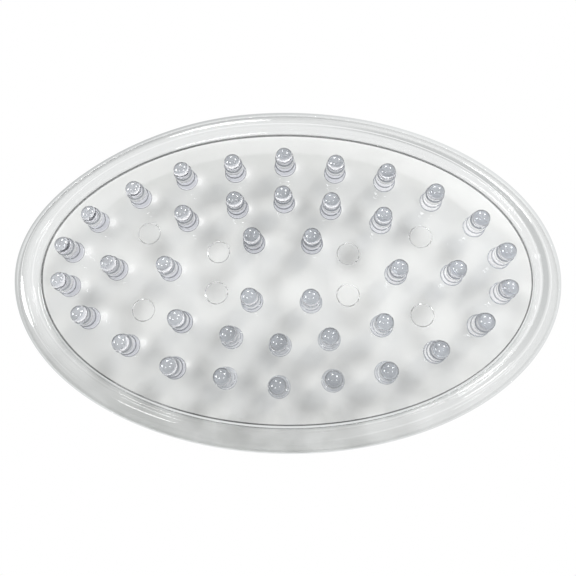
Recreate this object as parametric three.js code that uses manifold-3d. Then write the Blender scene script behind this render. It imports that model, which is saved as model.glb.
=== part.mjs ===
// Oval soap saver in clear plastic: a rounded rim carries a flat floor panel, and rows of
// domed pegs stand on the floor to hold a bar of soap clear of the water.
// Millimetres, +Z up, X along the oval. The origin is the middle of the surface it stands on.

import * as THREE from 'three';
import { mergeVertices } from 'three/addons/utils/BufferGeometryUtils.js';
import Module from 'manifold-3d';

// Driving dimensions of the oval and its rim
const LENGTH = 133;
const WIDTH = 85;
const RIM_END_WIDTH = 6.9;
const RIM_SIDE_WIDTH = 6.4;
const RIM_HEIGHT = 6.4;
const RIM_ROUND = 2.5;

// The largest share of the rim's thinnest side that one rounded edge may take
const ROUND_SHARE_LIMIT = 0.45;

// The floor panel rests on a ledge inside the rim
const FLOOR_THICKNESS = 2;
const FLOOR_LIFT = 2;
const FLOOR_CLEARANCE = 0.3;
const LEDGE_WIDTH = 1.2;
const LEDGE_HEIGHT = 1.1;

// Pegs: a tapered shaft under a round dome, with a spigot that plugs into the floor
const PEG_HEIGHT = 8;
const PEG_DOME_DIAMETER = 4.5;
const PEG_FOOT_DIAMETER = 5.2;
const SPIGOT_DIAMETER = 3;
const SPIGOT_DEPTH = 1.1;
const SOCKET_CLEARANCE = 0.3;

// Shallow round marks in the underside of the floor
const EJECTOR_MARK_DIAMETER = 5.7;
const INSERT_MARK_DIAMETER = 4.5;
const MARK_DEPTH = 0.25;

// How finely the round shapes are divided
const OVAL_STEPS = 36;
const ROUND_STEPS = 3;
const PEG_SIDES = 12;
const DOME_STEPS = 4;
const MARK_SIDES = 20;

// Places of the pegs and marks in one quarter of the floor. Each pair is how far out the place
// lies towards the edge of the opening, along the oval and across it.
const PEG_ROWS = {
  outer: [[0, 0.761], [0.21, 0.713], [0.416, 0.654], [0.607, 0.515], [0.779, 0.337], [0.873, 0.12]],
  middle: [[0, 0.492], [0.194, 0.448], [0.4, 0.351], [0.682, 0]],
  inner: [[0.119, 0.202], [0.459, 0]],
};
const EJECTOR_MARKS = [[0.566, 0.27], [0.269, 0.143]];

// The two insert marks are not mirrored
const INSERT_MARKS = [[0.695, 0.17], [0.095, -0.87]];

// Sizes that follow from the driving dimensions
const OPENING = { halfLength: LENGTH / 2 - RIM_END_WIDTH, halfWidth: WIDTH / 2 - RIM_SIDE_WIDTH };
const FLOOR_TOP = FLOOR_LIFT + FLOOR_THICKNESS;

const wasm = await Module();
wasm.setup();

// Solids for cutting and joining

function toSolid(geometry) {
  geometry.deleteAttribute('normal');
  geometry.deleteAttribute('uv');
  const merged = mergeVertices(geometry);
  const corners = merged.index.array;
  const kept = [];
  for (let i = 0; i < corners.length; i += 3) {
    const [a, b, c] = corners.slice(i, i + 3);
    if (a !== b && b !== c && c !== a) kept.push(a, b, c);
  }
  const mesh = new wasm.Mesh({
    numProp: 3,
    vertProperties: new Float32Array(merged.attributes.position.array),
    triVerts: new Uint32Array(kept),
  });
  return new wasm.Manifold(mesh);
}

function toGeometry(solid) {
  const mesh = solid.getMesh();
  const geometry = new THREE.BufferGeometry();
  geometry.setAttribute('position', new THREE.BufferAttribute(new Float32Array(mesh.vertProperties), 3));
  geometry.setIndex(new THREE.BufferAttribute(new Uint32Array(mesh.triVerts), 1));
  geometry.computeVertexNormals();
  return geometry;
}

// Ovals that lie a given distance outside the opening, or inside it where the distance is negative

function ovalPath(PathClass, outset) {
  const path = new PathClass();
  path.absellipse(0, 0, OPENING.halfLength + outset, OPENING.halfWidth + outset, 0, 2 * Math.PI);
  return path;
}

function ovalPrism(outset, height, base, holeOutset = null) {
  const shape = ovalPath(THREE.Shape, outset);
  if (holeOutset !== null) shape.holes.push(ovalPath(THREE.Path, holeOutset));
  const geometry = new THREE.ExtrudeGeometry(shape, {
    depth: height,
    curveSegments: OVAL_STEPS,
    bevelEnabled: false,
  });
  return geometry.translate(0, 0, base);
}

function upright(geometry, x, y, z) {
  return geometry.rotateX(Math.PI / 2).translate(x, y, z);
}

// Rim: a band with rounded edges between the outer oval and the opening, with the floor's ledge

function makeRim() {
  const thinnest = Math.min(RIM_END_WIDTH, RIM_SIDE_WIDTH, RIM_HEIGHT);
  const round = Math.min(RIM_ROUND, ROUND_SHARE_LIMIT * thinnest);
  const shape = new THREE.Shape();
  shape.absellipse(0, 0, LENGTH / 2, WIDTH / 2, 0, 2 * Math.PI);
  shape.holes.push(ovalPath(THREE.Path, 0));
  const band = new THREE.ExtrudeGeometry(shape, {
    depth: RIM_HEIGHT - 2 * round,
    curveSegments: OVAL_STEPS,
    bevelThickness: round,
    bevelSize: round,
    bevelOffset: -round,
    bevelSegments: ROUND_STEPS,
  });
  band.translate(0, 0, round);
  const ledge = ovalPrism(round, LEDGE_HEIGHT, FLOOR_LIFT - LEDGE_HEIGHT, -LEDGE_WIDTH);
  return toGeometry(toSolid(band).add(toSolid(ledge)));
}

// Floor: an oval panel with a socket for each peg and shallow round marks underneath

function makeFloor(pegPlaces, markPlaces) {
  let panel = toSolid(ovalPrism(-FLOOR_CLEARANCE, FLOOR_THICKNESS, FLOOR_LIFT));
  const socketRadius = SPIGOT_DIAMETER / 2 + SOCKET_CLEARANCE;
  const socketDepth = SPIGOT_DEPTH + SOCKET_CLEARANCE;
  for (const { x, y } of pegPlaces) {
    const drill = new THREE.CylinderGeometry(socketRadius, socketRadius, 2 * socketDepth, PEG_SIDES);
    panel = panel.subtract(toSolid(upright(drill, x, y, FLOOR_TOP)));
  }
  for (const { x, y, diameter } of markPlaces) {
    const stamp = new THREE.CylinderGeometry(diameter / 2, diameter / 2, 2 * MARK_DEPTH, MARK_SIDES);
    panel = panel.subtract(toSolid(upright(stamp, x, y, FLOOR_LIFT)));
  }
  return toGeometry(panel);
}

// Peg: spigot, flat foot on the floor, tapered shaft and half-round dome, turned about its axis

function makePeg() {
  const domeRadius = PEG_DOME_DIAMETER / 2;
  const domeBase = PEG_HEIGHT - domeRadius;
  const profile = [
    new THREE.Vector2(0, -SPIGOT_DEPTH),
    new THREE.Vector2(SPIGOT_DIAMETER / 2, -SPIGOT_DEPTH),
    new THREE.Vector2(SPIGOT_DIAMETER / 2, 0),
    new THREE.Vector2(PEG_FOOT_DIAMETER / 2, 0),
  ];
  for (let step = 0; step < DOME_STEPS; step += 1) {
    const angle = (step / DOME_STEPS) * (Math.PI / 2);
    profile.push(new THREE.Vector2(domeRadius * Math.cos(angle), domeBase + domeRadius * Math.sin(angle)));
  }
  profile.push(new THREE.Vector2(0, PEG_HEIGHT));
  return upright(new THREE.LatheGeometry(profile, PEG_SIDES), 0, 0, 0);
}

// Places on the floor

function onFloor([along, across]) {
  return { x: along * OPENING.halfLength, y: across * OPENING.halfWidth };
}

function mirrored(quarter) {
  const places = [];
  for (const [along, across] of quarter) {
    for (const alongSign of along > 0 ? [1, -1] : [1]) {
      for (const acrossSign of across > 0 ? [1, -1] : [1]) {
        places.push(onFloor([alongSign * along, acrossSign * across]));
      }
    }
  }
  const turn = ({ x, y }) => (Math.atan2(y, x) + 2 * Math.PI) % (2 * Math.PI);
  return places.sort((a, b) => turn(a) - turn(b));
}

// The soap saver, put together

const clearPlastic = () => new THREE.MeshStandardMaterial({ color: 0xe6eae9, roughness: 0.08, metalness: 0 });
const clearPegPlastic = () => new THREE.MeshStandardMaterial({ color: 0xd9dde2, roughness: 0.05, metalness: 0 });

function named(name, geometry, material) {
  const mesh = new THREE.Mesh(geometry, material);
  mesh.name = name;
  return mesh;
}

const pegRows = Object.entries(PEG_ROWS).map(([row, quarter]) => ({ row, places: mirrored(quarter) }));
const pegPlaces = pegRows.flatMap(({ places }) => places);
const markPlaces = [
  ...mirrored(EJECTOR_MARKS).map((place) => ({ ...place, diameter: EJECTOR_MARK_DIAMETER })),
  ...INSERT_MARKS.map(onFloor).map((place) => ({ ...place, diameter: INSERT_MARK_DIAMETER })),
];

const soapSaver = new THREE.Group();
soapSaver.name = 'soap_saver';
soapSaver.add(named('rim', makeRim(), clearPlastic()));
soapSaver.add(named('floor', makeFloor(pegPlaces, markPlaces), clearPlastic()));
for (const { row, places } of pegRows) {
  places.forEach(({ x, y }, index) => {
    const peg = named(`peg_${row}_${String(index + 1).padStart(2, '0')}`, makePeg(), clearPegPlastic());
    peg.position.set(x, y, FLOOR_TOP);
    soapSaver.add(peg);
  });
}

export default soapSaver;
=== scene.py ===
# %% [markdown]
# # A clear oval soap saver
#
# The object is an insert of clear, colourless plastic: a rounded rim, a flat floor, and three rows of
# domed pegs that hold a bar of soap out of the water. Clear plastic shows nothing of its own. What we
# see is light bent by its curves, small bright images of the lamps, and the soft shadows it throws on
# the table below. So this lesson spends its effort on true curves, on a good clear plastic and on the
# lamps.
#
# We begin with the packed part. It is the fixed frame: every piece made here takes its place from it.

# %% Load the packed part
import math

import bpy
import numpy as np
from mathutils import Euler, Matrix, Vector
from mathutils.geometry import delaunay_2d_cdt


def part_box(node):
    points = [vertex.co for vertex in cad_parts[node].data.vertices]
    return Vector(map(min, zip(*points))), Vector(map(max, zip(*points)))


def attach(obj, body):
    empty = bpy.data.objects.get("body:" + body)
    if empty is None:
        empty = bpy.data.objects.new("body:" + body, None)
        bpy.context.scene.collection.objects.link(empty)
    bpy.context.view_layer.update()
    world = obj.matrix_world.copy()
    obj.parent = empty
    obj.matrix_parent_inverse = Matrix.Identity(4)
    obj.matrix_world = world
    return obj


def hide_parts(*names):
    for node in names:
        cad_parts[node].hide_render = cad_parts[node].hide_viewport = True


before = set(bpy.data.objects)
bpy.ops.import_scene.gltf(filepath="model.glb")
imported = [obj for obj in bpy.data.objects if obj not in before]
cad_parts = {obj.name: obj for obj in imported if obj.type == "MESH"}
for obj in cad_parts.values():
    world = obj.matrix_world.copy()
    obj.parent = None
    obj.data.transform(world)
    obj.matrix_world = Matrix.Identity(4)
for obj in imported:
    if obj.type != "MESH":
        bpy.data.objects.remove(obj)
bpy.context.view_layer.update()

MM = 0.001

# %% [markdown]
# ## Sizes from the frame
#
# The rim's box gives the outer oval. The floor's box gives the floor's oval, its top and its underside,
# and each peg's box gives the place of one peg. On the real moulding the floor runs on into the rim.
# Here a panel and a bead meet without a visible slit: the bead begins a little outside the opening, and
# the panel is drawn out to meet it.

# %% Read the sizes
FLOOR_GAP = 0.3 * MM
FLOOR_REACH = 0.24 * MM

rim_low, rim_high = (np.array(corner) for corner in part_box("rim"))
floor_low, floor_high = (np.array(corner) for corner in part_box("floor"))
OUTER_OVAL = (rim_high - rim_low)[:2] / 2
OPENING_OVAL = (floor_high - floor_low)[:2] / 2 + FLOOR_GAP
FLOOR_EDGE_OVAL = OPENING_OVAL + FLOOR_REACH
FLOOR_TOP = floor_high[2]
FLOOR_UNDERSIDE = floor_low[2]
RIM_TOP = rim_high[2]

peg_nodes = sorted(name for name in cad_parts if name.startswith("peg_"))
peg_boxes = np.array([[list(corner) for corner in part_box(name)] for name in peg_nodes])
PEG_CENTRES = (peg_boxes[:, 0, :2] + peg_boxes[:, 1, :2]) / 2
PEG_TIP = peg_boxes[:, 1, 2].max()
print("outer oval", OUTER_OVAL, "opening", OPENING_OVAL, "pegs", len(peg_nodes), "tip", PEG_TIP)

# %% [markdown]
# ## From grids to meshes
#
# Every curved piece is a grid of points worked out at once with numpy. Small helpers turn such a grid
# into a mesh: one numbers the corners of its faces, and one hands points and faces to Blender. A
# finished piece stays at the origin with its place in its points, rides on the part's one body, and
# stands for its node.

# %% Helpers for meshes
def grid_faces(rows, columns):
    """Quads of a grid that is closed in its second direction: each joins a point, the next one in its
    row, and the same two in the row after. The last column joins back to the first."""
    row, column = np.meshgrid(np.arange(rows - 1), np.arange(columns), indexing="ij")
    beside = (column + 1) % columns
    corners = [row * columns + column, row * columns + beside, (row + 1) * columns + beside,
               (row + 1) * columns + column]
    return np.stack(corners, axis=-1).reshape(-1, 4)


def add_mesh(name, points, faces, materials):
    """Makes one mesh object from points and faces, and puts it into the scene."""
    mesh = bpy.data.meshes.new(name)
    mesh.from_pydata(np.asarray(points).tolist(), [], [list(map(int, face)) for face in faces])
    for material in materials:
        mesh.materials.append(material)
    made = bpy.data.objects.new(name, mesh)
    bpy.context.scene.collection.objects.link(made)
    return made


def add_piece(name, points, faces, materials, node, smooth, material_index=0):
    """Makes the piece that stands for one node of the frame. Smooth and material index are one value
    for the whole piece, or a value for each face."""
    piece = add_mesh(name, points, faces, materials)
    count = len(piece.data.polygons)
    piece.data.polygons.foreach_set("use_smooth", np.broadcast_to(smooth, count))
    indices = np.broadcast_to(material_index, count).astype(np.int32)
    piece.data.polygons.foreach_set("material_index", indices)
    piece.data.validate()
    piece.data.update()
    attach(piece, "root")
    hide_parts(node)
    return piece


def store(piece, name, values):
    """Keeps one number for each point of a mesh, for its material to read."""
    numbers = piece.data.attributes.new(name, "FLOAT", "POINT")
    numbers.data.foreach_set("value", np.ravel(values).astype(np.float32))


print("a closed grid of 3 rows and 8 columns has", len(grid_faces(3, 8)), "faces")

# %% [markdown]
# ## Writing materials as sums
#
# A material is a tree of nodes. The small class below stands for one output of a node, so that a sum
# such as `1 - mask` adds the Math node for it. Any other node comes from `Link.node`, which takes its
# type, the values or links of its sockets, and its settings.

# %% A class for shader links
class Link:
    """One output socket of a node tree. A sum, difference, product or size of it adds a Math node."""

    def __init__(self, tree, socket):
        self.tree = tree
        self.socket = socket

    @classmethod
    def node(cls, tree, kind, inputs=None, output=0, **settings):
        """Adds a node, sets its settings, then fills its sockets with values or links."""
        made = tree.nodes.new(kind)
        for key, value in settings.items():
            setattr(made, key, value)
        for key, value in (inputs or {}).items():
            if isinstance(value, Link):
                tree.links.new(value.socket, made.inputs[key])
            else:
                made.inputs[key].default_value = value
        return cls(tree, made.outputs[output] if made.outputs else None)

    def maths(self, operation, first, second=0.0):
        return Link.node(self.tree, "ShaderNodeMath", {0: first, 1: second}, operation=operation)

    def __add__(self, other):
        return self.maths("ADD", self, other)

    __radd__ = __add__

    def __sub__(self, other):
        return self.maths("SUBTRACT", self, other)

    def __rsub__(self, other):
        return self.maths("SUBTRACT", other, self)

    def __mul__(self, other):
        return self.maths("MULTIPLY", self, other)

    __rmul__ = __mul__

    def __abs__(self):
        return self.maths("ABSOLUTE", self)


print("reflected sums of a link:", [name for name in vars(Link) if name.startswith("__r")])

# %% [markdown]
# The next helpers are the words that the materials are written in: where a place is, how a share
# rises, how colours and shaders mix, and which kind of ray asks. Each is a node or a few.

# %% Words for materials
WHITE = (1.0, 1.0, 1.0)


def emptied(owner):
    """Gives a material or world an empty node tree."""
    owner.use_nodes = True
    owner.node_tree.nodes.clear()
    return owner.node_tree


def start_material(name):
    """A new material, and the link that gives the place on the piece."""
    material = bpy.data.materials.new(name)
    return material, Link.node(emptied(material), "ShaderNodeTexCoord", output="Object")


def finish_material(material, surface):
    """Makes a shader the material's surface."""
    Link.node(surface.tree, "ShaderNodeOutputMaterial", {"Surface": surface})
    return material


def split(vector):
    """The X, Y and Z of a place or direction."""
    return [Link.node(vector.tree, "ShaderNodeSeparateXYZ", {"Vector": vector}, output=axis)
            for axis in "XYZ"]


def stored(tree, name):
    """The number that a mesh keeps under a name."""
    return Link.node(tree, "ShaderNodeAttribute", output="Fac", attribute_name=name)


def rising(value, low, high):
    """A share that climbs from 0 to 1 in a soft S while the value goes from low to high."""
    return Link.node(value.tree, "ShaderNodeMapRange",
                     {"Value": value, "From Min": low, "From Max": high},
                     interpolation_type="SMOOTHSTEP")


def noise(place, patches, detail):
    """A smooth noise round 0.5, with a number of patches to the metre."""
    return Link.node(place.tree, "ShaderNodeTexNoise",
                     {"Vector": place, "Scale": patches, "Detail": detail})


def between(share, first, second):
    """A colour that goes from the first to the second as the share goes from 0 to 1."""
    ends = [end if isinstance(end, Link) else (*end, 1.0) for end in (first, second)]
    return Link.node(share.tree, "ShaderNodeMix", {0: share, 6: ends[0], 7: ends[1]}, output=2,
                     data_type="RGBA")


def mixed(share, first, second):
    """A shader that goes from the first to the second as the share goes from 0 to 1."""
    return Link.node(share.tree, "ShaderNodeMixShader", {0: share, 1: first, 2: second})


def see_through(tree, colour):
    """A shader that lets light straight on and colours it."""
    return Link.node(tree, "ShaderNodeBsdfTransparent", {"Color": (*colour, 1.0)})


def matt(tree, colour):
    """A shader that scatters light evenly, as paper does."""
    return Link.node(tree, "ShaderNodeBsdfDiffuse", {"Color": (*colour, 1.0)})


def turned_away(tree):
    """0 where a face looks at us, rising to 1 where it is seen edge on."""
    return Link.node(tree, "ShaderNodeLayerWeight", {"Blend": 0.5}, output="Facing")


def from_behind(tree):
    """1 where a face is seen from its back, else 0."""
    return Link.node(tree, "ShaderNodeNewGeometry", output="Backfacing")


def ray(tree, kind):
    """1 for a ray of the named kind, else 0."""
    return Link.node(tree, "ShaderNodeLightPath", output=f"Is {kind} Ray")


def lighting(tree):
    """1 for a ray that asks how much light reaches a place, else 0."""
    return ray(tree, "Shadow") + ray(tree, "Diffuse")


words = (rising, noise, between, mixed, see_through, matt, ray)
print("words for materials:", ", ".join(word.__name__ for word in words))

# %% [markdown]
# ## The clear plastic
#
# The moulding is clear plastic with a polished skin. A glass-like shader bends the light, and a very
# fine waviness in its normal keeps reflections from looking computed. A lamp's light passes through the
# plastic and part of it is lost on the way. Tracing that by chance is slow, so a ray that asks for
# light crosses the plastic straight, and each piece says what share it lets through. The table then
# gets its soft grey shadows.

# %% Clear plastic
PLASTIC_BEND = 1.55
SKIN_BEND = 1.8
SKIN_ROUGHNESS = 0.05
WAVE_DETAIL = 2
HAZE_PATCHES = 160
HAZE_DETAIL = 4
HAZE_LEAST = 0.5


def clear_plastic(name, bend, tint, clearness, skin, shade, roughness, wave_size, wave_depth, edge=None):
    """Clear plastic that bends the view. Tint, skin and edge are functions of the place on the piece:
    the colour that a view through it takes, the share of polished skin over it, and the share and
    shader of thin plastic where it turns away. Clearness is the share of light that is bent and not
    scattered by fine scratches, and shade is the share that a crossing lets through to the table. A
    haze makes the roughness more or less, and the waves are a slow noise in the normal."""
    material, place = start_material(name)
    tree = place.tree
    waves = noise(place, 1 / wave_size, WAVE_DETAIL)
    normal = Link.node(tree, "ShaderNodeBump",
                       {"Height": waves, "Distance": wave_depth, "Strength": 1.0})
    haze = noise(place, HAZE_PATCHES, HAZE_DETAIL)
    plastic = Link.node(tree, "ShaderNodeBsdfPrincipled", {
        "Base Color": tint(place),
        "Roughness": roughness * (HAZE_LEAST + haze),
        "IOR": bend,
        "Transmission Weight": clearness,
        "Coat Weight": skin(place),
        "Coat IOR": SKIN_BEND,
        "Coat Roughness": SKIN_ROUGHNESS,
        "Normal": normal,
    })
    if edge:
        share, thin_plastic = edge(place)
        plastic = mixed(share, plastic, thin_plastic)
    entering = see_through(tree, (shade, shade, shade))
    straight = mixed(from_behind(tree), entering, see_through(tree, WHITE))
    return finish_material(material, mixed(lighting(tree), plastic, straight))


def no_skin(place):
    """No polished skin anywhere."""
    return 0.0


print("plastic bends light by", PLASTIC_BEND, "and its skin by", SKIN_BEND)

# %% [markdown]
# Where a peg stands on the floor, the real moulding has no skin at all: plastic runs on into plastic.
# Two clear skins in contact would bend the light twice there, so those hidden faces get a joint that
# lets it straight on. From above, the look through a dome would meet the table in the peg's own shade,
# so the joint carries painted shade there, paler to the left. A look that meets the foot at a slant
# cannot leave the floor's underside below: it is thrown back and wanders on in the panel, which is full
# of stray light. So from a slant the joint shows that stray light as painted light: white, and grey
# from a flatter slant, where the look has farther to go.

# %% The joint between clear pieces
# Painted shade under each peg, seen through its dome, paler to the left; painted stray light from a
# slant.
UNDER_PEG_SHADE = (0.80, 0.815, 0.84)
UNDER_PEG_SHADE_LEFT = (0.90, 0.91, 0.93)
JOINT_PALE_END = (-45 * MM, 0.0)
STRAY_WHITE = (0.88, 0.88, 0.89)
STRAY_GREY = (0.57, 0.575, 0.61)
STRAY_GREY_RIGHT_FADE = 0.6
SLANT = (0.125, 0.2)
FLAT_SLANT = (0.22, 0.32)
SLANT_SHIFT = 0.08
PEGS_TO_RIGHT = (5 * MM, 40 * MM)


def clear_joint():
    """Straight on from above with painted shade, paler to the left, and painted stray light from a
    slant.
    To the right it takes a flatter slant to meet the stray light, and its grey is weaker."""
    material, place = start_material("clear_joint")
    tree = place.tree
    x, _, _ = split(place)
    to_right = rising(x, *PEGS_TO_RIGHT)
    from_left = rising(x, *JOINT_PALE_END)
    straight = mixed(from_left, see_through(tree, UNDER_PEG_SHADE_LEFT), see_through(tree, UNDER_PEG_SHADE))
    slant = turned_away(tree)
    grey = rising(slant, *FLAT_SLANT) * (1 - STRAY_GREY_RIGHT_FADE * to_right)
    stray = mixed(grey, matt(tree, STRAY_WHITE), matt(tree, STRAY_GREY))
    slanted = rising(slant - SLANT_SHIFT * to_right, *SLANT) * (1 - lighting(tree))
    return finish_material(material, mixed(slanted, straight, stray))


joint = clear_joint()
print("joint:", joint.name)

# %% [markdown]
# ## The rim
#
# The rim is a fat rounded bead. A round pipe along the oval would be simpler, but the real bead is
# boxier, so its section is a superellipse, which lies between an ellipse and a box and is smooth all
# round. One parameter runs along the oval and the other round the section. The top falls a little
# towards the outside, a fine moulded groove runs along it, and the oval is a touch flatter at the back
# left.

# %% Shape the rim
RIM_STEPS = 640
RIM_SECTION_STEPS = 96
RIM_SQUARENESS = 2.5
RIM_FALL = 1.2 * MM
RIM_FALL_START = 0.3
RIM_GROOVE = 0.2
RIM_GROOVE_HALF = 0.045
RIM_GROOVE_DEPTH = 0.16 * MM
RIM_GROOVE_TURN = (math.radians(117), math.radians(127))
RIM_GROOVE_STEPS = 16
FLAT_PLACE = math.radians(140)
FLAT_REACH = math.radians(40)
FLAT_INNER = 0.45 * MM
FLAT_OUTER = 1.15 * MM


def cosine_bell(share):
    """One wave of a cosine: 1 at 0, falling softly to 0 at -1 and at 1, and 0 beyond."""
    return 0.5 + 0.5 * np.cos(np.pi * np.clip(share, -1, 1))


def flatter(along):
    """The share of the flattening at an angle along the oval: a cosine bell round the back left."""
    return cosine_bell((along - FLAT_PLACE) / FLAT_REACH)


def squarish(wave):
    """A cosine or sine to the power 2 over the squareness, its sign kept, moved to lie from 0 to 1."""
    return np.sign(wave) * np.abs(wave) ** (2 / RIM_SQUARENESS) / 2 + 0.5


def bead():
    """Points of the rim and their share across it: 0 at the floor and 1 at the outer oval. Share across
    and height are a squarish cosine and sine. Above half height the bead is lowered towards the outside
    by a soft S, three squares less two cubes, and by a cosine bell in the groove."""
    along = np.linspace(0, 2 * np.pi, RIM_STEPS, endpoint=False)[:, None]
    evenly = np.linspace(0, 2 * np.pi, RIM_SECTION_STEPS, endpoint=False)
    around = np.sort(np.concatenate([evenly, np.linspace(*RIM_GROOVE_TURN, RIM_GROOVE_STEPS)]))[None, :]
    across = squarish(np.cos(around))
    rise = squarish(np.sin(around))
    outward = np.clip((across - RIM_FALL_START) / (1 - RIM_FALL_START), 0, 1)
    rise = rise - 2 * np.maximum(rise - 0.5, 0) * outward ** 2 * (3 - 2 * outward) * RIM_FALL / RIM_TOP
    in_groove = cosine_bell((across - RIM_GROOVE) / RIM_GROOVE_HALF)
    rise = rise - (rise > 0.5) * in_groove * RIM_GROOVE_DEPTH / RIM_TOP
    flat = (FLAT_INNER + across * (FLAT_OUTER - FLAT_INNER)) * flatter(along)
    half_length = FLOOR_EDGE_OVAL[0] + across * (OUTER_OVAL[0] - FLOOR_EDGE_OVAL[0]) - flat
    half_width = FLOOR_EDGE_OVAL[1] + across * (OUTER_OVAL[1] - FLOOR_EDGE_OVAL[1]) - flat
    x = half_length * np.cos(along)
    y = half_width * np.sin(along)
    z = np.broadcast_to(rise * RIM_TOP, x.shape)
    return np.stack([x, y, z], axis=-1), np.broadcast_to(across, x.shape)


rim_grid, rim_across = bead()
rim_faces = grid_faces(RIM_STEPS + 1, rim_grid.shape[1]) % rim_across.size
print("rim:", rim_across.size, "points,", len(rim_faces), "faces")

# %% [markdown]
# Through the rim we look at the white ground, with grey where the bead is thick or bends the look to
# the dark room. Bending the light fully makes the outline break up into dots, so the rim bends it only
# a little, and its greys are painted shade that follows the share across: grey on the outer shoulder,
# a band to the right and a grey inner side to the front. Two painted light lines lie where the curve
# gathers light. Where the sides turn away there is little plastic to look through, so thin clear plastic
# takes over there, and the outline is a fine line of painted shade, greyer round the back left.

# %% Colour the rim
RIM_BEND = 1.15
RIM_TO_RIGHT = (0.0, 30 * MM)
RIM_UPPER_HALF = (0.4 * RIM_TOP, 0.6 * RIM_TOP)
RIM_CLEAR = (0.99, 1.0, 1.0)
RIM_TINT = (0.80, 0.815, 0.81)
# Painted shade on the rim: shoulder, band and inner front greys. Its clear lines are painted light.
SHOULDER_SHADE = (0.46, 0.47, 0.47)
SHOULDER_START = (0.2, 0.65)
SHOULDER_END = (0.75, 0.95)
SHOULDER_END_FADE = 0.6
SHOULDER_RIGHT_FADE = 0.6
SHOULDER_FRONT_FADE = 0.7
BAND_SHADE = (0.38, 0.395, 0.395)
BAND_START = (0.2, 0.25)
BAND_END = (0.38, 0.46)
INNER_FRONT_SHADE = (0.73, 0.74, 0.735)
INNER_FRONT_END = (0.05, 0.5)
INNER_FRONT_RIGHT_FADE = 0.8
LINE_HALF = 0.03
INNER_LINE = 0.17
INNER_LINE_BACK_SHIFT = 0.13
OUTER_LINE = 0.58
OUTER_LINE_RIGHT_SHIFT = 0.08
OUTER_LINE_BACK_FADE = 0.7
RIM_POLISH = 0.8
RIM_POLISH_END = (0.3, 0.6)
EDGE_FACING = (0.44, 0.52)
EDGE_ACROSS = (0.11, 0.18)
# Painted shade on the rim's outline: pale, and grey round the back left.
EDGE_PALE = (0.875, 0.885, 0.885)
EDGE_SHADE_BACK_LEFT = (0.76, 0.77, 0.77)


def rim_painted_shade_and_light(place):
    """Painted shade on pale plastic: a grey shoulder, a grey band to the right, a grey inner side to the
    front, and two painted light lines away from the front left. All of it lies on the upper half."""
    across = stored(place.tree, "across")
    x, y, z = split(place)
    to_right = rising(x, *RIM_TO_RIGHT)
    to_back = rising(y, 0.0, OUTER_OVAL[1])
    to_front = 1 - rising(y, -OUTER_OVAL[1], 0.0)
    shoulder = rising(across, *SHOULDER_START) - SHOULDER_END_FADE * rising(across, *SHOULDER_END)
    shoulder = shoulder * (1 - SHOULDER_RIGHT_FADE * to_right) * (1 - SHOULDER_FRONT_FADE * to_front)
    band = to_right * (1 - to_front) * (rising(across, *BAND_START) - rising(across, *BAND_END))
    inner_side = 1 - rising(across, *INNER_FRONT_END)
    inner_front = to_front * (1 - INNER_FRONT_RIGHT_FADE * to_right) * inner_side
    colour = between(shoulder, RIM_TINT, SHOULDER_SHADE)
    colour = between(band, colour, BAND_SHADE)
    colour = between(inner_front, colour, INNER_FRONT_SHADE)
    lined = 1 - to_front * (1 - to_right)
    inner_line = INNER_LINE + INNER_LINE_BACK_SHIFT * to_back
    outer_line = OUTER_LINE - OUTER_LINE_RIGHT_SHIFT * to_right
    outer_lined = lined * (1 - OUTER_LINE_BACK_FADE * to_back)
    # The two clear lines are painted light.
    for line, strength in ((inner_line, lined), (outer_line, outer_lined)):
        on_line = strength * (1 - rising(abs(across - line), 0.0, LINE_HALF))
        colour = between(on_line, colour, RIM_CLEAR)
    return between(rising(z, *RIM_UPPER_HALF), RIM_CLEAR, colour)


def rim_skin(place):
    """Polished, and less so where it turns away, so that its outline stays soft."""
    return RIM_POLISH - RIM_POLISH * rising(turned_away(place.tree), *RIM_POLISH_END)


def rim_edge(place):
    """The share and the shader of the thin plastic where the rim's sides turn away: nearly clear, with
    painted shade that is greyer round the back left. The middle of the top is never thin."""
    tree = place.tree
    x, y, _ = split(place)
    from_middle = abs(stored(tree, "across") - 0.5)
    share = rising(turned_away(tree), *EDGE_FACING) * rising(from_middle, *EDGE_ACROSS)
    back_left = rising(y - x, 0.0, OUTER_OVAL[0])
    return share, mixed(back_left, see_through(tree, EDGE_PALE), see_through(tree, EDGE_SHADE_BACK_LEFT))


rim_plastic = clear_plastic("clear_rim", bend=RIM_BEND, tint=rim_painted_shade_and_light, clearness=0.97, skin=rim_skin,
                            shade=0.9, roughness=0.03, wave_size=9 * MM, wave_depth=0.02 * MM,
                            edge=rim_edge)
rim_piece = add_piece("rim_bead", rim_grid.reshape(-1, 3), rim_faces, [rim_plastic], "rim",
                      smooth=True)
store(rim_piece, "across", rim_across)
print("rim piece:", rim_piece.name, "in", rim_plastic.name)

# %% [markdown]
# ## The pegs
#
# A peg is a turned form: a profile of radius and height goes round an axis. From the bottom it has a
# foot that flares into the floor, a straight collar, a fine groove, a straight shaft, a narrow neck and
# a round dome. A Screw modifier could turn it, but numpy gives all its rings at once, and its place
# goes straight into its points. Close pairs of points keep the few sharp edges crisp under smooth
# shading.

# %% Shape a peg
PEG_SIDES = 56
DOME_RADIUS = 2.08 * MM
DOME_DROP = math.radians(24)
DOME_STEPS = 33
SHAFT_RADIUS = 2.26 * MM
SHOULDER_DROP = 0.95 * MM
COLLAR_HEIGHT = 2.15 * MM
COLLAR_RADIUS = 2.46 * MM
FOOT_RADIUS = 2.72 * MM
FOOT_ROUND = 0.45 * MM
FOOT_STEPS = 7
GROOVE = 0.12 * MM
EDGE = 0.03 * MM
JOINT_GAP = 0.004 * MM


def edged(corners):
    """Straight lines from corner to corner, with one more point close to each end of every line: smooth
    shading then bends only there, and the lines stay straight."""
    start, end = corners[:-1], corners[1:]
    step = EDGE * (end - start) / np.linalg.norm(end - start, axis=1, keepdims=True)
    lines = np.stack([start, start + step, end - step], axis=1).reshape(-1, 2)
    return np.concatenate([lines, corners[-1:]])


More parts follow.
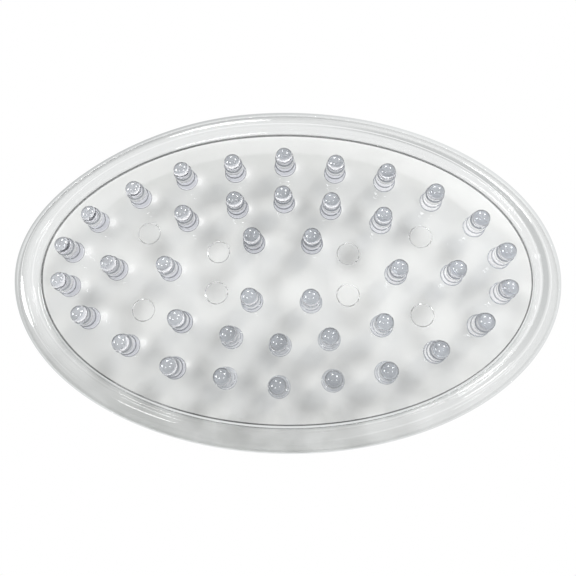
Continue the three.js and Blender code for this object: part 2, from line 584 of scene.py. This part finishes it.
def peg_profile():
    """Radius and height over the floor, from the middle of the foot up to just below the tip: a quarter
    round at the foot, a straight collar, a groove, a straight shaft, a slope in to the neck, and a
    circle from under its middle to the tip."""
    middle = PEG_TIP - FLOOR_TOP - DOME_RADIUS
    turn = np.linspace(0, np.pi / 2, FOOT_STEPS)
    foot = [[EDGE, JOINT_GAP], [FOOT_RADIUS - EDGE, JOINT_GAP]]
    fillet = np.stack([FOOT_RADIUS - (FOOT_RADIUS - COLLAR_RADIUS) * np.sin(turn),
                       JOINT_GAP + EDGE + FOOT_ROUND * (1 - np.cos(turn))], axis=-1)
    lift = np.linspace(-DOME_DROP, np.pi / 2, DOME_STEPS + 1, endpoint=False)
    dome = np.stack([DOME_RADIUS * np.cos(lift), middle + DOME_RADIUS * np.sin(lift)], axis=-1)
    corners = np.array([
        fillet[-1],
        [COLLAR_RADIUS, COLLAR_HEIGHT - GROOVE],
        [SHAFT_RADIUS - GROOVE, COLLAR_HEIGHT],
        [SHAFT_RADIUS, COLLAR_HEIGHT + GROOVE],
        [SHAFT_RADIUS, middle - SHOULDER_DROP],
        dome[0],
    ])
    return np.concatenate([foot, fillet[:-1], edged(corners), dome[1:]])


def turned(profile, sides, centre, base, tip):
    """Points of a turned piece: each radius goes round the axis as cosine and sine at its height, with
    one more point on the axis at each end, and the faces of its side, its underside and its tip."""
    angle = np.linspace(0, 2 * np.pi, sides, endpoint=False)[None, :]
    radius, height = profile[:, 0][:, None], profile[:, 1][:, None]
    x = centre[0] + radius * np.cos(angle)
    y = centre[1] + radius * np.sin(angle)
    z = np.broadcast_to(base + height, x.shape)
    ends = [[centre[0], centre[1], base + profile[0, 1]], [centre[0], centre[1], tip]]
    points = np.concatenate([np.stack([x, y, z], axis=-1).reshape(-1, 3), ends])
    count = len(profile) * sides
    ring = np.arange(sides)
    beside = (ring + 1) % sides
    under = np.stack([np.full(sides, count), beside, ring], axis=-1)
    last = count - sides
    over = np.stack([np.full(sides, count + 1), last + ring, last + beside], axis=-1)
    return points, grid_faces(len(profile), sides), under, over


profile = peg_profile()
print("peg profile:", len(profile), "points up to", PEG_TIP - FLOOR_TOP, "m over the floor")

# %% [markdown]
# A dome is a strong lens, and all round its edge it shows the dark room, so it gets painted shade:
# lilac grey with a dark edge. The shaft is a clear rod that lights up from the panel, with dark rings
# of painted shade where it changes its width. Seen from straight above, at the middle of the front,
# the rings hardly show and the domes are darker. So there are two plastics, and both know how far a
# peg is from the middle of the front.

# %% Colour the pegs
MIDDLE_OF_FRONT = (7 * MM, -32 * MM)
NEAR_FRONT = 14 * MM
FAR_FROM_FRONT = 34 * MM
# Painted shade on the domes, and on the rings and foot of the shafts.
DOME_SHADE = (0.88, 0.89, 0.92)
DOME_NEAR_SHADE = (0.79, 0.80, 0.82)
DOME_EDGE_SHADE = (0.08, 0.085, 0.095)
DOME_EDGE = (0.3, 0.7)
DOME_EDGE_LEAST = 0.45
DOME_EDGE_BACK = 0.55
DOME_EDGE_NEAR = 0.4
DOME_BACK = (-0.5, 0.4)
DOME_MIDDLE = PEG_TIP - DOME_RADIUS
DOME_UPPER_HALF = (DOME_MIDDLE - 0.5 * MM, DOME_MIDDLE + 0.5 * MM)
CROWN_END = (0.25, 0.6)
SHAFT_TINT = (1.0, 1.0, 1.0)
FOOT_SHADE = (0.72, 0.73, 0.77)
RING_SHADE = (0.24, 0.245, 0.265)
RING_NEAR = 0.15
RING_RIGHT_FADE = 0.5
RING_SOFT = 0.5
NECK_SHADE = (0.32, 0.33, 0.35)
NECK_HEIGHT = DOME_MIDDLE - (DOME_RADIUS * math.sin(DOME_DROP) + SHOULDER_DROP) / 2
NECK_HALF = 0.08 * MM
COLLAR_RING_HALF = 0.16 * MM
FOOT_RING_HALF = 0.12 * MM


def from_front(x, y):
    """The share of the way from the pegs at the middle of the front to those well away from it, by the
    square of the distance."""
    right = x - MIDDLE_OF_FRONT[0]
    back = y - MIDDLE_OF_FRONT[1]
    return rising(right * right + back * back, NEAR_FRONT ** 2, FAR_FROM_FRONT ** 2)


def dome_painted_shade(place):
    """Painted shade: lilac grey, darker at the middle of the front, with a dark edge that is
    strongest at the back.
    """
    x, y, height = split(place)
    _, outward_y, _ = split(Link.node(place.tree, "ShaderNodeNewGeometry", output="Normal"))
    far = from_front(x, y)
    to_back = rising(outward_y, *DOME_BACK)
    strength = DOME_EDGE_LEAST + DOME_EDGE_BACK * to_back + DOME_EDGE_NEAR * (1 - far) * (1 - to_back)
    edge = rising(height, *DOME_UPPER_HALF) * strength * rising(turned_away(place.tree), *DOME_EDGE)
    return between(edge, between(far, DOME_NEAR_SHADE, DOME_SHADE), DOME_EDGE_SHADE)


def dome_skin(place):
    """Full on the crown of the dome, and none towards its edge."""
    return 1 - rising(turned_away(place.tree), *CROWN_END)


def shaft_painted_shade(place):
    """Painted shade: paler from the foot up to the neck, with dark rings at neck, collar and foot. All
    rings are weaker at the middle of the front, and those at collar and foot also to the right."""
    x, y, height = split(place)
    to_right = rising(x, *PEGS_TO_RIGHT)
    far = from_front(x, y)
    ringed = (RING_NEAR + (1 - RING_NEAR) * far) * (1 - RING_RIGHT_FADE * to_right)
    # Painted shade: a greyer foot, and dark rings at neck, collar and foot.
    foot = between(far * (1 - to_right), SHAFT_TINT, FOOT_SHADE)
    body = between(rising(height, FLOOR_TOP + COLLAR_HEIGHT, NECK_HEIGHT), foot, SHAFT_TINT)
    rings = [
        (NECK_HEIGHT, NECK_HALF, NECK_SHADE, far),
        (FLOOR_TOP + COLLAR_HEIGHT, COLLAR_RING_HALF, RING_SHADE, ringed),
        (FLOOR_TOP, FOOT_RING_HALF, RING_SHADE, ringed),
    ]
    for ring_height, half, tint, share in rings:
        on_ring = 1 - rising(abs(height - ring_height), RING_SOFT * half, half)
        body = between(share * on_ring, body, tint)
    return body


dome_plastic = clear_plastic("clear_dome", bend=PLASTIC_BEND, tint=dome_painted_shade, clearness=0.99,
                             skin=dome_skin, shade=0.25, roughness=0.02, wave_size=1.2 * MM,
                             wave_depth=0.03 * MM)
shaft_plastic = clear_plastic("clear_shaft", bend=PLASTIC_BEND, tint=shaft_painted_shade, clearness=0.9,
                              skin=no_skin, shade=0.25, roughness=0.08, wave_size=1.8 * MM,
                              wave_depth=0.01 * MM)
print("peg plastics:", dome_plastic.name, "and", shaft_plastic.name)

# %% [markdown]
# Every peg now gets its own mesh, turned round its own axis. The lowest ring of faces and the small
# disc inside it lie on the floor and are joint, the uppermost rings are dome, and the rest is shaft.

# %% Make the pegs
DOME_FACE, JOINT_FACE, SHAFT_FACE = range(3)

for node, centre in zip(peg_nodes, PEG_CENTRES):
    points, sides, under, over = turned(profile, PEG_SIDES, centre, FLOOR_TOP, PEG_TIP)
    index = np.full(len(sides) + len(under) + len(over), DOME_FACE)
    index[:len(sides) - DOME_STEPS * PEG_SIDES] = SHAFT_FACE
    index[:PEG_SIDES] = JOINT_FACE
    index[len(sides):len(sides) + len(under)] = JOINT_FACE
    add_piece(f"{node}_clear", points, [*sides, *under, *over], [dome_plastic, joint, shaft_plastic],
              node, index != JOINT_FACE, index)
print("pegs:", len(peg_nodes), "of", len(profile) * PEG_SIDES, "points each")

# %% [markdown]
# ## The floor
#
# The floor is a flat panel. A narrow slope along its edge, with painted shade on it, makes the thin
# dark line inside the rim. Its underside has round marks from the mould, a shade higher than the rest,
# whose sloped sides show through the plastic as thin circles; round the ejector marks the slopes also
# carry painted shade. Flat faces with circles in them are a job for Blender's own constrained
# triangulation: it gets the outline and the circles, and says which triangle lies in which.

# %% Draw the floor's outlines
OVAL_STEPS = 360
CIRCLE_STEPS = 72
FLOOR_SLIT = 0.01 * MM
CREASE_WIDTH = 0.48 * MM
CREASE_DEPTH = 0.1 * MM
CREASE_SHIFT = (0.08 * MM, -0.12 * MM)
MARK_SLOPE = 0.24 * MM
EJECTOR_MARK_RADIUS = 2.85 * MM
EJECTOR_MARK_DEPTH = 0.25 * MM
EJECTOR_MARKS = [[0.566, 0.27], [0.269, 0.143]]
INSERT_MARK_RADIUS = 2.25 * MM
INSERT_MARK_DEPTH = 0.06 * MM
INSERT_MARKS = [[0.695, 0.17], [0.095, -0.87]]
MIRRORS = [[1, 1], [-1, 1], [1, -1], [-1, -1]]


def circle(centre, radius, steps):
    """Points at cosine and sine of the angle, times a radius or a pair of them, round a centre."""
    angle = np.linspace(0, 2 * np.pi, steps, endpoint=False)
    return np.asarray(centre) + np.stack([np.cos(angle), np.sin(angle)], axis=-1) * np.asarray(radius)


def triangulated(loops):
    """Triangles of the first loop, with the number of the inner loop that each lies in, or 0."""
    starts = np.cumsum([0] + [len(loop) for loop in loops])
    outlines = [list(range(start, start + len(loop))) for start, loop in zip(starts, loops)]
    flat = [Vector(point) for point in np.concatenate(loops)]
    points, _, faces, _, _, owners = delaunay_2d_cdt(flat, [], outlines, 1, 1e-9)
    inside = np.array([max(owner) if owner else 0 for owner in owners])
    return np.array([list(point) for point in points]), np.array(faces), inside


ejector_shares = (np.array(EJECTOR_MARKS)[:, None, :] * np.array(MIRRORS)[None]).reshape(-1, 2)
ejector_centres = ejector_shares * OPENING_OVAL
insert_centres = np.array(INSERT_MARKS) * OPENING_OVAL
marks = [(centre, EJECTOR_MARK_RADIUS, EJECTOR_MARK_DEPTH) for centre in ejector_centres]
marks += [(centre, INSERT_MARK_RADIUS, INSERT_MARK_DEPTH) for centre in insert_centres]
flat = FLAT_INNER * flatter(np.linspace(0, 2 * np.pi, OVAL_STEPS, endpoint=False))[:, None]
outline = circle((0, 0), FLOOR_EDGE_OVAL - FLOOR_SLIT - flat, OVAL_STEPS)
crease = circle(CREASE_SHIFT, FLOOR_EDGE_OVAL - CREASE_WIDTH - flat, OVAL_STEPS)
feet = [circle(centre, FOOT_RADIUS, CIRCLE_STEPS) for centre in PEG_CENTRES]
mark_loops = [circle(centre, radius, CIRCLE_STEPS) for centre, radius, _ in marks]
top_points, top_faces, top_inside = triangulated([outline, crease, *feet])
low_points, low_faces, low_inside = triangulated([outline, *mark_loops])
print("floor:", len(top_faces), "triangles on top,", len(low_faces), "below,", len(marks), "marks")

# %% [markdown]
# The panel's plastic is almost colourless. The slopes round the ejector marks and the crease along the
# edge throw the look aside into the dark room, so they carry painted shade: dark grey.

# %% Colour the floor
FLOOR_COOL_TINT = (0.945, 0.955, 0.955)
FLOOR_WARM_TINT = (0.965, 0.97, 0.96)
FLOOR_DRIFT_PATCHES = 60
FLOOR_DRIFT_DETAIL = 2
# Painted shade round the ejector marks and in the crease.
STEP_SHADE = (0.26, 0.27, 0.27)
STEP_LOW = FLOOR_UNDERSIDE + 0.3 * EJECTOR_MARK_DEPTH
STEP_HIGH = FLOOR_UNDERSIDE + 0.9 * EJECTOR_MARK_DEPTH
STEP_SOFT = 0.1 * EJECTOR_MARK_DEPTH
CREASE_SHADE = (0.06, 0.062, 0.064)
CREASE_PALE_SHADE = (0.14, 0.142, 0.144)
CREASE_DRIFT_PATCHES = 40
CREASE_DRIFT_DETAIL = 1


def floor_drift_and_shade(place):
    """A slow change between a cooler and a warmer clear, and painted shade, dark grey, round the
    ejector marks.
    """
    _, _, height = split(place)
    drift = noise(place, FLOOR_DRIFT_PATCHES, FLOOR_DRIFT_DETAIL)
    body = between(drift, FLOOR_COOL_TINT, FLOOR_WARM_TINT)
    over_foot = rising(height, STEP_LOW, STEP_LOW + STEP_SOFT)
    over_top = rising(height, STEP_HIGH - STEP_SOFT, STEP_HIGH)
    return between(over_foot - over_top, body, STEP_SHADE)


def crease_painted_shade(place):
    """Painted shade: dark, with a little change along its way."""
    drift = noise(place, CREASE_DRIFT_PATCHES, CREASE_DRIFT_DETAIL)
    return between(drift, CREASE_SHADE, CREASE_PALE_SHADE)


def panel_plastic(name, tint):
    """The panel's plastic with a tint: clear, without a skin, with wide flat waves."""
    return clear_plastic(name, bend=PLASTIC_BEND, tint=tint, clearness=0.92, skin=no_skin, shade=0.9,
                         roughness=0.03, wave_size=12 * MM, wave_depth=0.01 * MM)


floor_plastic = panel_plastic("clear_floor", floor_drift_and_shade)
crease_plastic = panel_plastic("clear_crease", crease_painted_shade)
print("floor plastics:", floor_plastic.name, "and", crease_plastic.name)

# %% [markdown]
# The pieces of the floor now go together: the top with its sunken edge, the underside turned to face
# down, a raised copy of each mark, the sloped walls round the marks, and the wall round the edge.

# %% Put the floor together
PANEL_FACE, FOOT_FACE, CREASE_FACE = range(3)


def level(points, height):
    """Flat points at one height."""
    return np.column_stack([points, np.full(len(points), height)])


def wall(lower, upper):
    """Points and faces of a band of quads between two loops of the same number of points."""
    count = len(lower)
    ring = np.arange(count)
    beside = (ring + 1) % count
    faces = np.stack([ring, beside, count + beside, count + ring], axis=-1)
    return np.concatenate([lower, upper]), faces


top_angle = np.arctan2(*(top_points / FLOOR_EDGE_OVAL).T[::-1]) % (2 * np.pi)
crease_middle = FLOOR_EDGE_OVAL - CREASE_WIDTH / 2 - FLAT_INNER * flatter(top_angle)[:, None]
at_edge = np.linalg.norm(top_points / crease_middle, axis=1) > 1
top_level = level(top_points, FLOOR_TOP)
top_level[at_edge, 2] -= CREASE_DEPTH
top_index = np.select([top_inside > 1, top_inside == 1], [FOOT_FACE, PANEL_FACE], CREASE_FACE)
edge_wall = wall(level(outline, FLOOR_UNDERSIDE), level(outline, FLOOR_TOP - CREASE_DEPTH))
parts = [
    (top_level, top_faces, top_index),
    (level(low_points, FLOOR_UNDERSIDE), low_faces[low_inside == 0][:, ::-1], PANEL_FACE),
    (*edge_wall, PANEL_FACE),
]
mark_disc = np.arange(CIRCLE_STEPS)[None, ::-1]
for outer_loop, (centre, radius, depth) in zip(mark_loops, marks):
    raised = level(circle(centre, radius - MARK_SLOPE, CIRCLE_STEPS), FLOOR_UNDERSIDE + depth)
    parts.append((*wall(raised, level(outer_loop, FLOOR_UNDERSIDE)), PANEL_FACE))
    parts.append((raised, mark_disc, PANEL_FACE))

offsets = np.cumsum([0] + [len(points) for points, _, _ in parts])
floor_points = np.concatenate([points for points, _, _ in parts])
floor_faces = [face + offset for (_, faces, _), offset in zip(parts, offsets) for face in faces]
floor_index = np.concatenate([np.broadcast_to(index, len(faces)) for _, faces, index in parts])
add_piece("floor_panel", floor_points, floor_faces, [floor_plastic, joint, crease_plastic],
          "floor", False, floor_index)
print("floor panel:", len(floor_faces), "faces")

# %% [markdown]
# ## The table
#
# The soap saver lies on a plain pale table. Seen directly the table is white, as a cut-out picture's
# ground is. Seen through the plastic it is the real table with its soft shadows, and with painted
# light and shade on it: a tone that changes across it, and clouds. A part of the white ground shows
# there too, as painted light: most under the back and the right of the rim, and in small spots where
# pegs gather light. From below the table is open, so that the underside of the dish can be looked at.

# %% Colour the table
# Painted light and shade on the table: its paper goes between a shaded grey and a lit tone.
SHADED_PAPER = (0.54, 0.545, 0.535)
LIT_PAPER = (0.835, 0.84, 0.835)
PALE_TO_RIGHT = 0.5
PALE_TO_MIDDLE = 0.5
GREY_TO_BACK = 0.7
GREY_BACK_END = 0.8 * OUTER_OVAL[1]
PALE_BACK_EDGE = 0.4
BACK_EDGE_OUT = (0.79, 0.85)
BACK_EDGE_BACK = (0.1 * OUTER_OVAL[1], 0.5 * OUTER_OVAL[1])
GRAIN_PATCHES = 900
GRAIN_DETAIL = 2
GRAIN_SHARE = 0.1
CLOUD_PATCHES = 110
CLOUD_DETAIL = 3
CLOUD_SHARE = 0.5
FRONT_CLOUD_SHARE = 2.2
FRONT_CLOUD_END = (-OPENING_OVAL[1], -0.7 * OPENING_OVAL[1])
WHITE_THROUGH_PLASTIC = 0.05
# Painted light: more of the white ground under the back and the right of the rim.
PAINTED_LIGHT_UNDER_RIM = 0.58
UNDER_RIM_OUT = (0.98, 1.12)
UNDER_RIM_BACK = (-OUTER_OVAL[1], 0.3 * OUTER_OVAL[1])
UNDER_RIM_LEAN = 0.45


def far_out(x, y):
    """How far out a place lies, 0 in the middle and 1 below the edge of the opening: the sum of the
    squares of its shares along and across."""
    along = x * (1 / OPENING_OVAL[0])
    across = y * (1 / OPENING_OVAL[1])
    return along * along + across * across


def grain_and_painted_light(place):
    """The share of lit paper, as painted light and shade. It grows to the right and from the front to
    the middle, falls to the back, and is larger below the floor's back edge. A fine grain of the paper
    and soft painted clouds of light and shade go over it, the clouds strongest at the front."""
    x, y, _ = split(place)
    cloud = noise(place, CLOUD_PATCHES, CLOUD_DETAIL) - 0.5
    front = 1 - rising(y, *FRONT_CLOUD_END)
    back_edge = rising(far_out(x, y), *BACK_EDGE_OUT) * rising(y, *BACK_EDGE_BACK)
    pale = PALE_TO_RIGHT * rising(x, -OUTER_OVAL[0], OUTER_OVAL[0])
    pale = pale + PALE_TO_MIDDLE * rising(y, -OUTER_OVAL[1], 0.0)
    pale = pale - GREY_TO_BACK * rising(y, 0.0, GREY_BACK_END)
    pale = pale + PALE_BACK_EDGE * back_edge
    pale = pale + GRAIN_SHARE * noise(place, GRAIN_PATCHES, GRAIN_DETAIL)
    return pale + CLOUD_SHARE * cloud + FRONT_CLOUD_SHARE * front * cloud


def white_share(place):
    """The share of plain white: all to the camera, and through the plastic a little everywhere, more as
    painted light under the back and the right of the rim, and more where pegs gather light."""
    tree = place.tree
    x, y, _ = split(place)
    back_right = rising(y + UNDER_RIM_LEAN * x.maths("MAXIMUM", x), *UNDER_RIM_BACK)
    under_rim = PAINTED_LIGHT_UNDER_RIM * rising(far_out(x, y), *UNDER_RIM_OUT) * back_right
    white = WHITE_THROUGH_PLASTIC + under_rim + stored(tree, "gathered")
    return ray(tree, "Camera") + white * (ray(tree, "Glossy") + ray(tree, "Transmission"))


def table_paper():
    """Paper between painted shade and painted light, with a share of white, and open from below."""
    material, place = start_material("table_paper")
    tree = place.tree
    paper = mixed(grain_and_painted_light(place), matt(tree, SHADED_PAPER), matt(tree, LIT_PAPER))
    white = Link.node(tree, "ShaderNodeEmission", {"Color": (*WHITE, 1.0), "Strength": 1.0})
    sheet = mixed(white_share(place), paper, white)
    return finish_material(material, mixed(from_behind(tree), sheet, see_through(tree, WHITE)))


paper = table_paper()
print("table:", paper.name)

# %% [markdown]
# The table is a wide disc. The light that a peg gathers lands beside its foot. It would take very many
# rays to find it by chance, so a finely divided sheet below the dish keeps it as a number at each of
# its points: a bright core and a wide halo for each peg, stronger for pegs that are farther from the
# middle of the front.

# %% Make the table
TABLE_HALF = 2.0
TABLE_SIDES = 64
TABLE_DROP = 0.02 * MM
PATCH_STEP = 0.4 * MM
GATHER_SHIFT = (2.2 * MM, 1.1 * MM)
GATHER_CORE = 0.7 * MM
GATHER_HALO = 2.0 * MM
GATHER_HALO_SHARE = 0.35
GATHER_STRENGTH = 0.9
GATHER_NEAR = 22 * MM
GATHER_FAR = 48 * MM


def gathered_light(points, centres, strengths):
    """Light that pegs gather on the table below them: for each peg a narrow and a wide bell curve of
    the distance from its middle, times the peg's strength, and the sum of all."""
    apart = np.linalg.norm(points[:, None, :] - centres[None, :, :], axis=-1)
    bells = np.exp(-(apart / GATHER_CORE) ** 2) + GATHER_HALO_SHARE * np.exp(-(apart / GATHER_HALO) ** 2)
    return bells @ strengths


def add_sheet(name, points, faces):
    """Makes one flat sheet of the table in the paper material."""
    sheet = add_mesh(name, points, faces, [paper])
    return sheet


table_points = level(circle((0, 0), TABLE_HALF, TABLE_SIDES), -TABLE_DROP)
add_sheet("table", table_points, np.arange(TABLE_SIDES)[None, :])
columns, rows = (int(2 * half / PATCH_STEP) + 1 for half in OUTER_OVAL)
patch_x = np.linspace(-OUTER_OVAL[0], OUTER_OVAL[0], columns)
patch_y = np.linspace(-OUTER_OVAL[1], OUTER_OVAL[1], rows)
patch_points = np.stack(np.meshgrid(patch_x, patch_y), axis=-1).reshape(-1, 2)
patch_faces = grid_faces(rows, columns).reshape(rows - 1, columns, 4)[:, :-1].reshape(-1, 4)
patch = add_sheet("table_middle", level(patch_points, -TABLE_DROP / 2), patch_faces)
peg_distance = np.linalg.norm(PEG_CENTRES - np.array(MIDDLE_OF_FRONT), axis=1)
strengths = GATHER_STRENGTH * np.clip((peg_distance - GATHER_NEAR) / (GATHER_FAR - GATHER_NEAR), 0, 1)
store(patch, "gathered", gathered_light(patch_points, PEG_CENTRES + np.array(GATHER_SHIFT), strengths))
print("table", 2 * TABLE_HALF, "m across, with", len(patch_faces), "faces in its middle")

# %% [markdown]
# ## The light
#
# Small bright spots on each dome are images of the lamps, so their places on the domes tell where the
# lamps stand: behind the dish, to its sides, and two weaker ones in front. The lamps do two jobs, and
# each job gets its own softboxes. Soft lamps light the table and make the shadows, and one of them
# stands near at the back right. Glint lamps light nothing and only show as images in the plastic. So
# spots and shadows can be set apart.

# %% Lamps
SOFT_DISTANCE = 0.9
SOFT_LAMPS = {
    "back": ((-0.33, 0.81, 0.48), 0.28, 3.8),
    "back_right": ((0.56, 0.56, 0.61), 0.28, 4.8),
    "back_left": ((-0.71, 0.30, 0.60), 0.28, 3.4),
}
GLINT_DISTANCE = 0.8
GLINT_LAMPS = {
    "back": ((-0.25, 0.85, 0.46), 0.26, 1.2),
    "back_right": ((0.56, 0.56, 0.61), 0.26, 1.2),
    "left": ((-0.93, -0.02, 0.36), 0.26, 1.2),
    "front_left": ((-0.42, -0.38, 0.82), 0.16, 0.4),
    "front_right": ((0.5, -0.2, 0.84), 0.16, 0.4),
}
NEAR_PLACE = (0.14, 0.17, 0.17)
NEAR_SIZE = 0.12
NEAR_POWER = 0.06


def add_lamp(name, place, size, power, lights, glints):
    """A round softbox at a place, facing the dish. It lights the scene, or shows as a small image in
    the plastic."""
    lamp = bpy.data.lights.new(name, "AREA")
    lamp.shape = "DISK"
    lamp.size = size
    lamp.energy = power
    holder = bpy.data.objects.new(name, lamp)
    holder.location = place
    holder.rotation_euler = Vector(place).to_track_quat("Z", "Y").to_euler()
    holder.visible_camera = False
    holder.visible_diffuse = lights
    holder.visible_transmission = glints
    holder.visible_glossy = glints
    bpy.context.scene.collection.objects.link(holder)


for name, (direction, size, power) in SOFT_LAMPS.items():
    add_lamp(f"soft_{name}", Vector(direction).normalized() * SOFT_DISTANCE, size, power, True, False)
for name, (direction, size, power) in GLINT_LAMPS.items():
    add_lamp(f"glint_{name}", Vector(direction).normalized() * GLINT_DISTANCE, size, power, False, True)
add_lamp("soft_near", NEAR_PLACE, NEAR_SIZE, NEAR_POWER, True, False)
print("soft lamps:", ", ".join(SOFT_LAMPS), "and near; glints:", ", ".join(GLINT_LAMPS))

# %% [markdown]
# What the plastic shows between the lamps is the room: darker walls and a paler ceiling. To the camera
# itself the surroundings are white, like the ground of the picture.

# %% The room
WALL_GREY = (0.25, 0.25, 0.25)
CEILING_GREY = (0.5, 0.5, 0.5)
CEILING_START = (0.15, 0.8)


def surroundings(tree, colour):
    """Light of one colour from all round."""
    return Link.node(tree, "ShaderNodeBackground", {"Color": (*colour, 1.0), "Strength": 1.0})


world = bpy.data.worlds.new("studio")
bpy.context.scene.world = world
world_tree = emptied(world)
_, _, upward = split(Link.node(world_tree, "ShaderNodeTexCoord", output="Generated"))
to_ceiling = rising(upward, *CEILING_START)
room = mixed(to_ceiling, surroundings(world_tree, WALL_GREY), surroundings(world_tree, CEILING_GREY))
backdrop = mixed(ray(world_tree, "Camera"), room, surroundings(world_tree, WHITE))
Link.node(world_tree, "ShaderNodeOutputWorld", {"Surface": backdrop})
print("room: walls", WALL_GREY, "ceiling", CEILING_GREY)

# %% [markdown]
# ## The camera
#
# The photo is taken from steeply above, nearer the front edge. A pinhole camera fitted to the places of
# pegs, marks and rim gives its place and turn: first straight down, then tilted to look a little away
# from us. Clear plastic needs long light paths, because a look may cross many skins before it reaches
# the table.

# %% Set the camera
CAMERA_PLACE = (7.6 * MM, -31.6 * MM, 136.24 * MM)
CAMERA_TURN = (11.84, 2.59, 0.94)
FOCAL_PIXELS = 560
PICTURE_SIDE = 576
SENSOR_WIDTH = 36.0
LIGHT_PATHS = {
    "transparent_max_bounces": 48,
    "max_bounces": 24,
    "glossy_bounces": 16,
    "transmission_bounces": 24,
}

camera = bpy.data.cameras.new("camera")
camera.sensor_width = SENSOR_WIDTH
camera.lens = FOCAL_PIXELS / PICTURE_SIDE * SENSOR_WIDTH
camera.clip_start = MM
camera_holder = bpy.data.objects.new("camera", camera)
camera_holder.rotation_mode = "ZYX"
camera_holder.rotation_euler = Euler([math.radians(angle) for angle in CAMERA_TURN], "ZYX")
camera_holder.location = CAMERA_PLACE
bpy.context.scene.collection.objects.link(camera_holder)
bpy.context.scene.camera = camera_holder
bpy.context.scene.view_settings.view_transform = "Standard"
for path, bounces in LIGHT_PATHS.items():
    setattr(bpy.context.scene.cycles, path, bounces)
print("camera lens", round(camera.lens, 2), "mm at", CAMERA_PLACE)

# %% [markdown]
